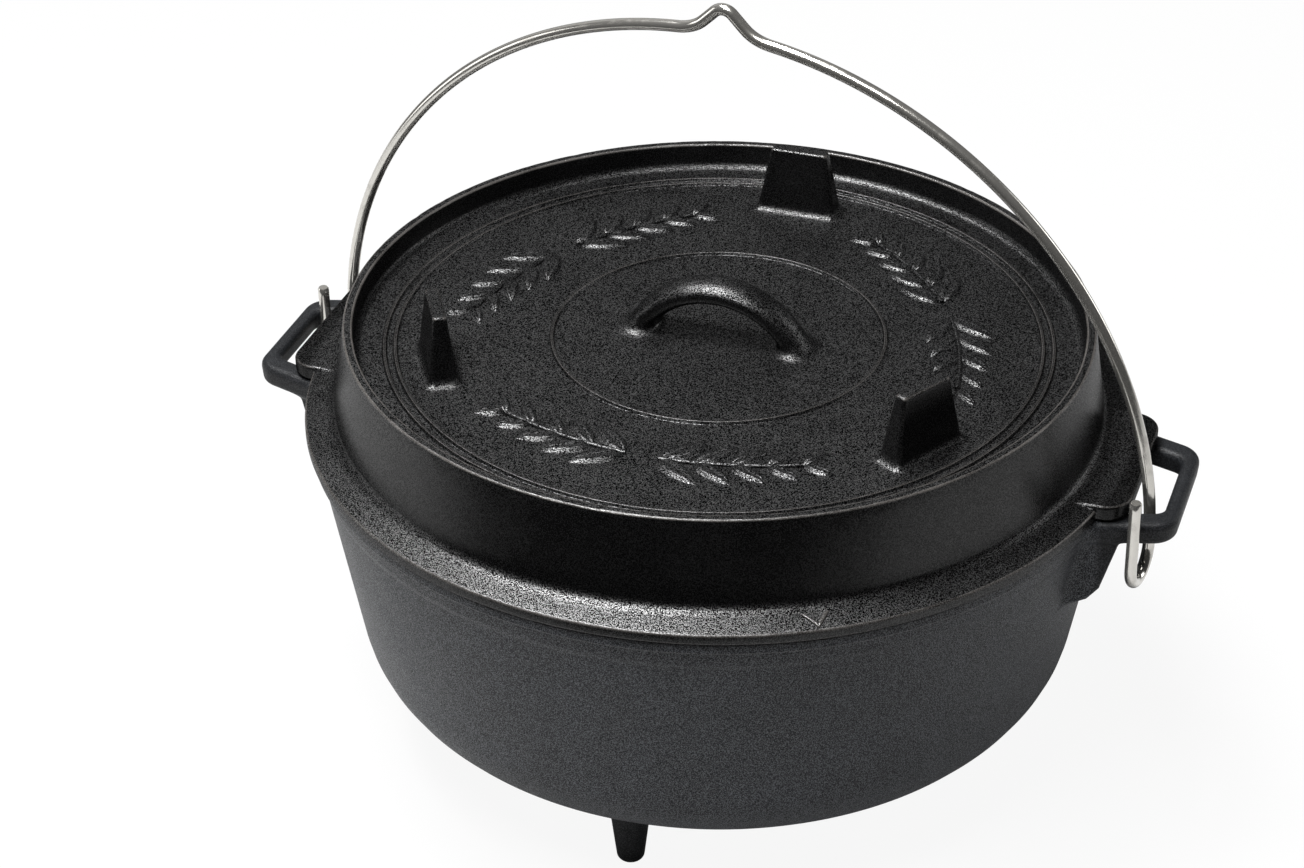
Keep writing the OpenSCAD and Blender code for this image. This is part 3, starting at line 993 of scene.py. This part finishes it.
def brim(points):
    """Distance to the brim's sloping top and its edge."""
    r = np.hypot(points[:, 0], points[:, 1])
    z = points[:, 2]
    top = (z - BRIM_Z - (BRIM_R - r) * BRIM_SLOPE) * math.cos(math.atan(BRIM_SLOPE))
    return thick(r - BRIM_R, np.maximum(top, LID_Z - z), 0.9)


def ear(points):
    """A flat ear with round corners."""
    x, y, z = points.T
    corner_x = EAR_X - EAR_CORNER_R
    corner_y = EAR_W / 2 - EAR_CORNER_R
    plan = np.hypot(np.clip(x - corner_x, 0.0, None), np.clip(np.abs(y) - corner_y, 0.0, None)) - EAR_CORNER_R
    inner = EAR_ROOT_R - np.hypot(x, y)
    return np.maximum(thick(plan, np.maximum(z - EAR_Z, LID_Z - z), 1.0), inner)


ear_field = growing(ear, brim, EAR_FILLET)
for side, piece in cast_both_sides("lid_rest_ear", ear_field, EAR_BOX, 0.6, lid_iron):
    hand_over(piece, "lid", "lid_iron", "lid_ear_" + side)

# %% [markdown]
# ## Legs on the lid
# Turned over, the lid stands on three legs and is used as a pan. Each leg is a tapered wedge with worn
# edges and a generous fillet at its base, standing square to the middle of the lid.

# %% Cast the three legs
LEG_RING_R = 105.0
LEG_H = 26.0
LEG_BASE = (10.5, 32.0)
LEG_TOP = (5.0, 22.7)
LEG_FILLET = 3.2
LEG_BOX = 24.0


def plate(points):
    """Distance to the top of the lid's plate."""
    return points[:, 2] - PLATE_Z


def leg(angle):
    """A wedge that stands on the plate at an angle round the lid."""

    def field(points):
        out = points[:, 0] * math.cos(angle) + points[:, 1] * math.sin(angle) - LEG_RING_R
        across = points[:, 1] * math.cos(angle) - points[:, 0] * math.sin(angle)
        up = points[:, 2] - PLATE_Z
        sides = []
        for distance, base, top in zip((out, across), LEG_BASE, LEG_TOP):
            taper = (base - top) / 2 / LEG_H
            sides.append((np.abs(distance) - base / 2 + taper * up) * math.cos(math.atan(taper)))
        plan = thick(sides[0], sides[1], 1.5)
        return thick(plan, np.maximum(up - LEG_H, -6.0 - up), 1.0)

    return field


for side, degrees in [("back", 90), ("right", -30), ("left", -150)]:
    angle = math.radians(degrees)
    x = LEG_RING_R * math.cos(angle)
    y = LEG_RING_R * math.sin(angle)
    low = (x - LEG_BOX, y - LEG_BOX, PLATE_Z - 2.5)
    high = (x + LEG_BOX, y + LEG_BOX, PLATE_Z + LEG_H + 1)
    field = growing(leg(angle), plate, LEG_FILLET)
    piece = cast_piece("lid_stand_leg_" + side, field, low, high, 0.6, lid_iron)
    hand_over(piece, "lid", "lid_iron", "lid_leg_" + side)

# %% [markdown]
# ## The grip
# A lifter hooks under the grip in the middle of the lid. It is an oval bar, broad from front to back, bent
# in a low arc, and its two ends flow out into the plate.

# %% Cast the grip
GRIP_ARC_R = 34.0
GRIP_HALF_T = 4.6
GRIP_HALF_W = 7.5
GRIP_RISE = 19.0
GRIP_FILLET = 5.0


def grip(points):
    """An oval bar along an arc that stands on the plate."""
    x, y, z = points.T
    height = z - PLATE_Z - GRIP_RISE + GRIP_ARC_R
    over = np.hypot(x, height) - GRIP_ARC_R
    share = np.hypot(over / GRIP_HALF_T, y / GRIP_HALF_W)
    steepness = np.hypot(over / GRIP_HALF_T ** 2, y / GRIP_HALF_W ** 2)
    bar = share * (share - 1.0) / np.maximum(steepness, 1e-6)
    return np.maximum(bar, PLATE_Z - 6.0 - z)


grip_low = (-48, -18, PLATE_Z - 2.5)
grip_high = (48, 18, PLATE_Z + GRIP_RISE + GRIP_HALF_T + 1)
grip_field = growing(grip, plate, GRIP_FILLET)
grip_piece = cast_piece("lid_grip", grip_field, grip_low, grip_high, 0.65, lid_iron)
hand_over(grip_piece, "lid", "lid_iron", "lid_handle")

# %% [markdown]
# ## Relief on the lid
# Three pairs of sprigs lie between the legs, in low relief. A leaf is one small mesh, and a Geometry Nodes
# tree sets pairs of leaves along an arc, with a round stem that follows the same arc.

# %% One leaf, as a low dome with a shallow dip along its middle
LEAF_LONG = 20.0
LEAF_WIDE = 8.4
LEAF_HIGH = 1.5


def leaf_mesh():
    """A leaf along +X with its stalk at the origin and its base just under the plate."""
    rows, columns = 12, 9
    points = []
    for i in range(rows + 1):
        t = i / rows
        half = LEAF_WIDE / 2 * math.sin(math.pi * t ** 0.8) ** 0.8 if 0 < i < rows else 0.02
        for j in range(columns):
            s = 2.0 * j / (columns - 1) - 1.0
            crown = (1.0 - s ** 4) * min(1.0, 1.6 * math.sin(math.pi * t))
            dome = LEAF_HIGH * crown * (1.0 - 0.3 * (1.0 - abs(s)) ** 3)
            rim = abs(s) == 1.0 or i in (0, rows)
            points.append((t * LEAF_LONG * MM, s * half * MM, (-0.3 if rim else max(dome, 0.05)) * MM))
    faces = []
    for i in range(rows):
        for j in range(columns - 1):
            a = i * columns + j
            faces.append((a, a + columns, a + columns + 1, a + 1))
    near_side = [i * columns for i in range(rows + 1)]
    far_side = [i * columns + columns - 1 for i in range(rows, -1, -1)]
    mesh = bpy.data.meshes.new("leaf")
    mesh.from_pydata(points, [], faces + [tuple(near_side + far_side)])
    return mesh


leaf = new_object("leaf", leaf_mesh())

# %% The sprig tree
def sprig_tree():
    tree = ShapeTree("sprig")
    path = tree.takes("Path", "Geometry")
    leaf_shape = tree.takes("Leaf", "Object")
    pairs = tree.takes("Leaf pairs", "Int")
    spread = tree.takes("Leaf angle", "Float")
    stem_r = tree.takes("Stem radius", "Float")
    finish = tree.takes("Finish", "Material")

    section = tree.node("GeometryNodeCurvePrimitiveCircle", None, Resolution=10, Radius=stem_r)
    stem = tree.node("GeometryNodeCurveToMesh", None, Curve=path, Profile_Curve=section, Fill_Caps=True)
    points = tree.nodes.nodes.new("GeometryNodeCurveToPoints")
    points.mode = "COUNT"
    tree.feed(points.inputs["Curve"], path)
    tree.feed(points.inputs["Count"], pairs)
    tangent = Value(tree, points.outputs["Tangent"])
    dots = Value(tree, points.outputs["Points"])
    tx = tree.node("ShaderNodeSeparateXYZ", None, tangent, out="X")
    ty = tree.node("ShaderNodeSeparateXYZ", None, tangent, out="Y")
    heading = ty.math("ARCTAN2", tx)
    index = tree.node("GeometryNodeInputIndex")
    share = index.math("FLOORED_MODULO", pairs) / (pairs - 1)
    size = 1.05 - 0.45 * share
    shape = tree.node("GeometryNodeObjectInfo", None, Object=leaf_shape, out="Geometry")
    joined = tree.nodes.nodes.new("GeometryNodeJoinGeometry")
    for side in (1.0, -1.0):
        turn = tree.node("ShaderNodeCombineXYZ", None, 0.0, 0.0, heading + spread * side)
        leaves = tree.node("GeometryNodeInstanceOnPoints", None, Points=dots, Instance=shape, Rotation=turn,
                           Scale=tree.node("ShaderNodeCombineXYZ", None, size, size, 1.0))
        tree.feed(joined.inputs[0], leaves)
    tree.feed(joined.inputs[0], stem)
    smooth = tree.node("GeometryNodeSetShadeSmooth", None, Value(tree, joined.outputs[0]))
    tree.gives(smooth, finish)
    return tree.nodes


sprig = sprig_tree()

# %% Set three pairs of sprigs between the legs
def poly_curve(name, runs):
    """A curve object's data from runs of points in millimetres."""
    curve = bpy.data.curves.new(name, "CURVE")
    curve.dimensions = "3D"
    for run in runs:
        spline = curve.splines.new("POLY")
        spline.points.add(len(run) - 1)
        for point, place in zip(spline.points, run):
            point.co = (*[c * MM for c in place], 1.0)
    return curve


SPRIG_R = 88.0
SPRIG_START = 4.0
SPRIG_HALF = 36.0
SPRIG_OUTWARD = 6.0
SPRIG_POINTS = 25


def sprig_arc(middle, way):
    """Half an arc that starts at its middle and runs one way round the lid."""
    angles = np.radians(middle + way * np.linspace(SPRIG_START, SPRIG_HALF, SPRIG_POINTS))
    radii = SPRIG_R + SPRIG_OUTWARD * np.linspace(0.0, 1.0, SPRIG_POINTS) ** 2
    return [(r * math.cos(a), r * math.sin(a), PLATE_Z + 0.1) for r, a in zip(radii, angles)]


arcs = [sprig_arc(middle, way) for middle in (-90, 30, 150) for way in (1, -1)]
sprig_inputs = {"Leaf": leaf, "Leaf pairs": 5, "Leaf angle": math.radians(38.0), "Stem radius": 1.0 * MM,
                "Finish": lid_iron}
sprigs = grown("lid_sprigs", poly_curve("sprig_arcs", arcs), sprig, sprig_inputs)
bpy.data.objects.remove(leaf)
hand_over(sprigs, "lid", "lid_iron")

# %% [markdown]
# ## Mark on the brim
# A small raised V on the brim points outwards. It is two bars that meet at the brim's edge, following its
# slope.

# %% Cast the mark
MARK_ANGLE = math.radians(-59.5)
MARK_IN_R = 147.6
MARK_TIP_R = 154.0
MARK_HALF = 4.2
MARK_HIGH = 0.7
MARK_BAR_HALF = 0.8
MARK_TIP_L = 2.2
MARK_MID_R = 151.0
MARK_BOX = 8.0


def mark(points):
    """Two thin bars that form a V, standing on the brim's slope."""
    out = points[:, 0] * math.cos(MARK_ANGLE) + points[:, 1] * math.sin(MARK_ANGLE)
    across = np.abs(points[:, 1] * math.cos(MARK_ANGLE) - points[:, 0] * math.sin(MARK_ANGLE))
    bar = [
        (MARK_IN_R, MARK_HALF + MARK_BAR_HALF), (MARK_IN_R, MARK_HALF - MARK_BAR_HALF),
        (MARK_TIP_R - MARK_TIP_L, 0.0), (MARK_TIP_R, 0.0),
    ]
    return thick(polygon_distance(bar, out, across), np.abs(brim(points)) - MARK_HIGH, 0.4)


mark_x = MARK_MID_R * math.cos(MARK_ANGLE)
mark_y = MARK_MID_R * math.sin(MARK_ANGLE)
mark_low = (mark_x - MARK_BOX, mark_y - MARK_BOX, 140)
mark_high = (mark_x + MARK_BOX, mark_y + MARK_BOX, 147)
mark_piece = cast_piece("brim_mark", mark, mark_low, mark_high, 0.25, lid_iron)
hand_over(mark_piece, "lid", "lid_iron")

# %% [markdown]
# ## The bail
# One steel wire: an arch with a peak in the middle for a tripod's hook, and a U-shaped hook at each end
# that goes round a bar of the loop. The path is drawn once as points and a Geometry Nodes tree sweeps a
# circle along it, with the two cut ends drawn in a little, as shears leave them.

# %% The bail's path
WIRE_R = 2.2
ARCH_R = 168.8
ARCH_DROP = 12.5
PEAK_H = 9.38
PEAK_HALF_W = 12.0
PEAK_R = 5.0
SHOULDER_R = 7.0
HOOK_R = 9.376
HOOK_END = 30.0
BAIL_TURN = math.radians(-8.665)
BAIL_LEAN = math.radians(2.5)
BAR_Z = 133.0
CUT_L = 0.7
CUT_SHARE = 0.80


def arch_half():
    """The right half of the arch from the foot of the hook's strand to the tip, in its own plane."""
    shoulder = np.array((PEAK_HALF_W, math.sqrt(ARCH_R ** 2 - PEAK_HALF_W ** 2)))
    tip = np.array((0.0, ARCH_R + PEAK_H - PEAK_R))
    reach = shoulder - tip
    flank_turn = math.atan2(reach[1], reach[0]) + math.acos(PEAK_R / np.linalg.norm(reach))
    flank_top = tip + PEAK_R * np.array((math.cos(flank_turn), math.sin(flank_turn)))
    ease = SHOULDER_R / ARCH_R
    angles = np.linspace(0.0, math.acos(PEAK_HALF_W / ARCH_R) - ease, 120)
    arc = [ARCH_R * np.array((math.cos(a), math.sin(a))) for a in angles]
    leave = arc[-1]
    land = shoulder + (flank_top - shoulder) / np.linalg.norm(flank_top - shoulder) * SHOULDER_R * 0.8
    shares = np.linspace(0.0, 1.0, 13)[1:]
    bend = [leave * (1 - t) ** 2 + shoulder * 2 * t * (1 - t) + land * t * t for t in shares]
    turns = np.linspace(flank_turn, math.pi / 2, 12)
    crown = [tip + PEAK_R * np.array((math.cos(a), math.sin(a))) for a in turns]
    return arc + bend + crown


def with_cut_ends(points):
    """The path with one more point near each end, where the wire starts to draw in."""

    def inside(end, beside):
        step = beside - end
        return end + step / np.linalg.norm(step) * CUT_L

    first = inside(points[0], points[1])
    last = inside(points[-1], points[-2])
    return [points[0], first, *points[1:-1], last, points[-1]]


def bail_path():
    """The whole wire from one cut end to the other, in its place on the pot."""
    half = [np.array((x, 0.0, z)) for x, z in arch_half()]
    hook = [np.array((ARCH_R, -2 * HOOK_R, z)) for z in np.linspace(HOOK_END, 1.0, 10)]
    for a in np.linspace(0.0, math.pi, 25):
        hook.append(np.array((ARCH_R, -HOOK_R - HOOK_R * math.cos(a), -HOOK_R * math.sin(a))))
    right = hook + half[1:]
    left = [point * np.array((-1.0, 1.0, 1.0)) for point in right[-2::-1]]
    lean_cos, lean_sin = math.cos(BAIL_LEAN), math.sin(BAIL_LEAN)
    turn_cos, turn_sin = math.cos(BAIL_TURN), math.sin(BAIL_TURN)
    lean = np.array(((1, 0, 0), (0, lean_cos, -lean_sin), (0, lean_sin, lean_cos)))
    turn = np.array(((turn_cos, -turn_sin, 0), (turn_sin, turn_cos, 0), (0, 0, 1)))
    placed = [turn @ lean @ (p + (0, HOOK_R, -ARCH_DROP)) + (0, 0, BAR_Z) for p in right + left]
    return with_cut_ends(placed)


# %% The wire tree
def wire_tree():
    tree = ShapeTree("wire")
    path = tree.takes("Path", "Geometry")
    radius = tree.takes("Wire radius", "Float")
    sides = tree.takes("Sides", "Int")
    finish = tree.takes("Finish", "Material")

    length = tree.node("GeometryNodeSplineParameter", out="Length")
    whole = tree.node("GeometryNodeSplineLength", out="Length")
    to_end = length.math("MINIMUM", whole - length)
    drawn_in = CUT_SHARE + (1.0 - CUT_SHARE) * (to_end / (CUT_L * MM)).math("MINIMUM", 1.0)
    path = tree.node("GeometryNodeStoreNamedAttribute", {"data_type": "FLOAT"}, Geometry=path, Name="along",
                     Value=length)
    section = tree.node("GeometryNodeCurvePrimitiveCircle", None, Resolution=sides, Radius=radius)
    wire = tree.node("GeometryNodeCurveToMesh", None, Curve=path, Profile_Curve=section, Scale=drawn_in,
                     Fill_Caps=True)
    wire = tree.node("GeometryNodeSetShadeSmooth", None, wire)
    tree.gives(wire, finish)
    return tree.nodes


wire_inputs = {"Wire radius": WIRE_R * MM, "Sides": 24, "Finish": bail_steel}
bail = grown("bail_wire", poly_curve("bail_path", [bail_path()]), wire_tree(), wire_inputs)
hand_over(bail, "bail", "bail_steel", "bail_arch", "bail_hook_right", "bail_hook_left")
